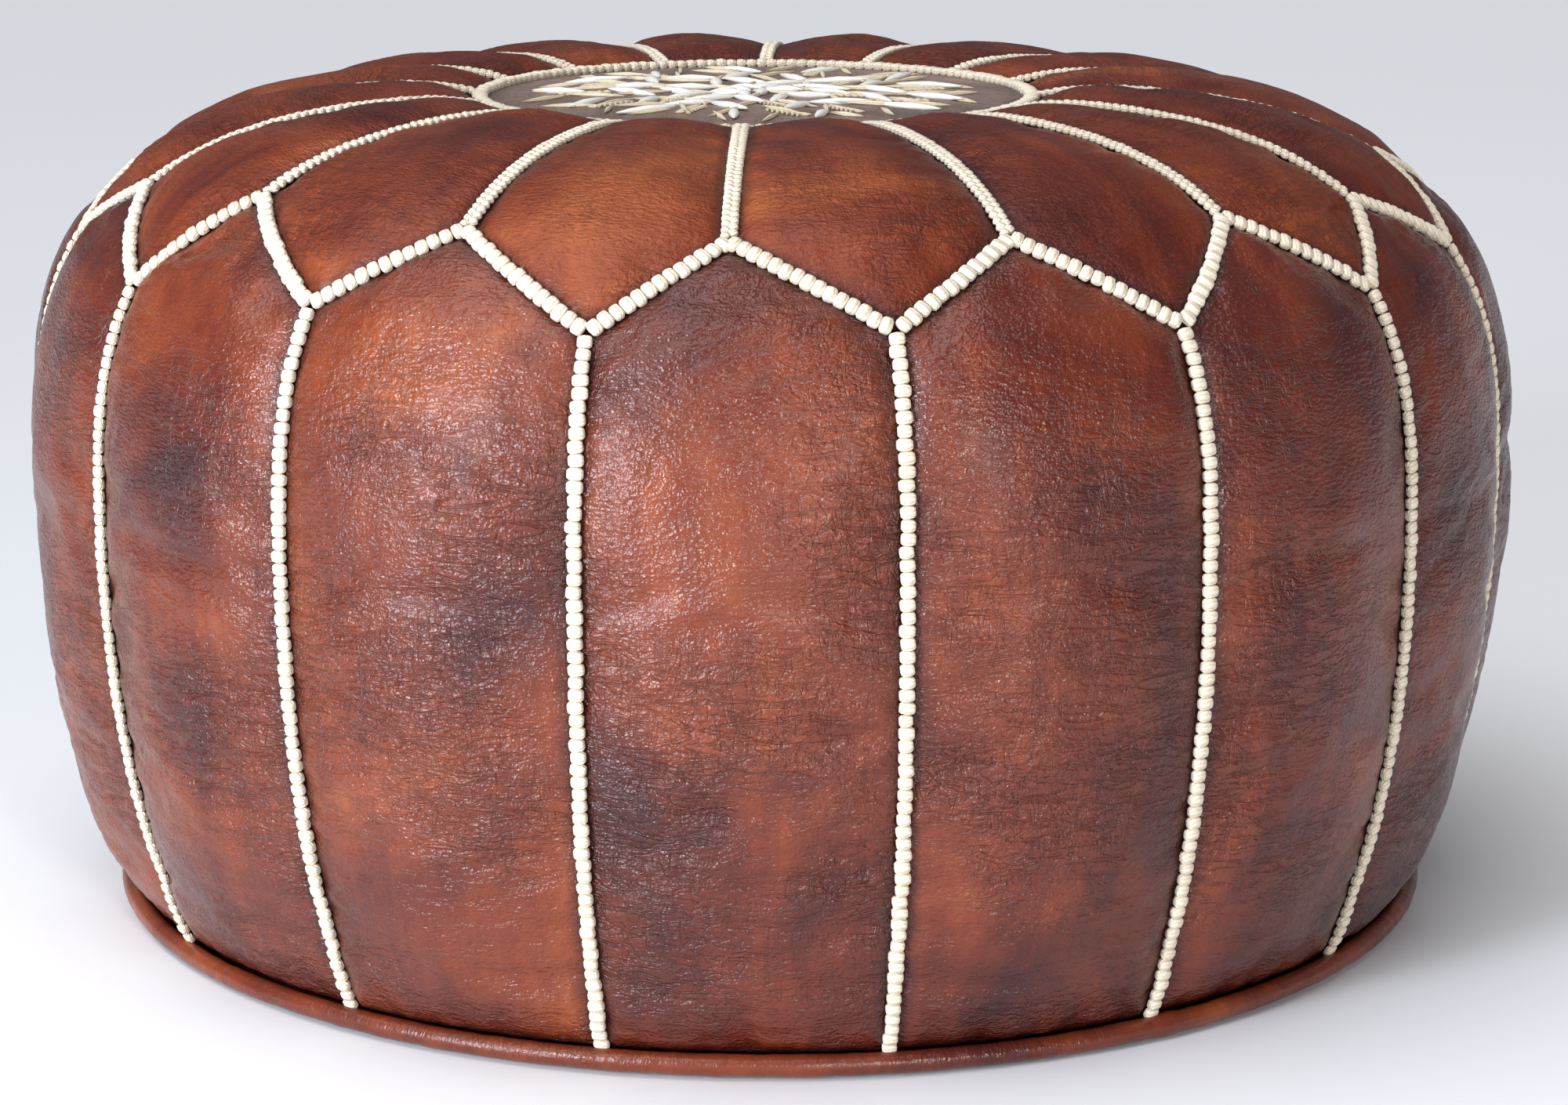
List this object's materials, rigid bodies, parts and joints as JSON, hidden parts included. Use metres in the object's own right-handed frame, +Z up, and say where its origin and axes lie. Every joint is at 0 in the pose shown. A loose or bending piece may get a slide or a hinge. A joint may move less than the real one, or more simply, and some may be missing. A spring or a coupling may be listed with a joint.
{
  "type": "moroccan leather pouf",
  "caption": "Round stuffed leather floor pouf with stitched petal top, embroidered medallion, upright side panels, welted foot and a zip across the base.",
  "frame": {"origin": "centre of the underside, on the surface that the pouf stands on", "axes": "+Z up through the medallion, X along the zip in the base, -Y towards the front"},
  "size_m": [0.52, 0.52, 0.288],
  "materials": {
    "leather_medallion": "satin",
    "leather_petal": "satin",
    "leather_side": "satin",
    "leather_base": "satin",
    "leather_welt": "satin",
    "cotton_cord": "matte",
    "stitching_cord": "matte",
    "thread_cream": "satin",
    "thread_white": "satin",
    "zip_cloth": "matte",
    "zip_coil": "satin",
    "zip_metal": "satin",
    "calico": "matte",
    "stuffing": "matte"
  },
  "bodies": {
    "cover": {"medallion": "leather_medallion", "top_petal_01": "leather_petal", "top_petal_02": "leather_petal", "top_petal_03": "leather_petal", "top_petal_04": "leather_petal", "top_petal_05": "leather_petal", "top_petal_06": "leather_petal", "top_petal_07": "leather_petal", "top_petal_08": "leather_petal", "top_petal_09": "leather_petal", "top_petal_10": "leather_petal", "top_petal_11": "leather_petal", "top_petal_12": "leather_petal", "top_petal_13": "leather_petal", "top_petal_14": "leather_petal", "top_petal_15": "leather_petal", "top_petal_16": "leather_petal", "side_panel_01": "leather_side", "side_panel_02": "leather_side", "side_panel_03": "leather_side", "side_panel_04": "leather_side", "side_panel_05": "leather_side", "side_panel_06": "leather_side", "side_panel_07": "leather_side", "side_panel_08": "leather_side", "side_panel_09": "leather_side", "side_panel_10": "leather_side", "side_panel_11": "leather_side", "side_panel_12": "leather_side", "side_panel_13": "leather_side", "side_panel_14": "leather_side", "side_panel_15": "leather_side", "side_panel_16": "leather_side", "base_front": "leather_base", "base_back": "leather_base", "zip_end_patches": "leather_base", "welt_cover": "leather_welt", "welt_cord": "cotton_cord", "medallion_stitching": "stitching_cord", "petal_stitching": "stitching_cord", "zigzag_stitching": "stitching_cord", "side_stitching": "stitching_cord", "embroidery_cream": "thread_cream", "embroidery_white": "thread_white", "zip_tape_front": "zip_cloth", "zip_tape_back": "zip_cloth", "zip_chain_front": "zip_coil", "zip_chain_back": "zip_coil", "zip_top_stops": "zip_metal", "zip_bottom_stop": "zip_metal", "liner_cup": "calico", "liner_base": "calico", "stuffing": "stuffing"},
    "slider": {"zip_slider": "zip_metal"},
    "pull": {"zip_pull": "zip_metal"}
  },
  "joints": [
    {"name": "zip_slide", "type": "slide", "parent": "cover", "child": "slider", "axis": [1, 0, 0], "range_m": [0, 0.3554]},
    {"name": "pull_swing", "type": "hinge", "parent": "slider", "child": "pull", "pos_m": [-0.1777, 0, 0.00335], "axis": [0, 1, 0], "range_deg": [0, 180]}
  ]
}
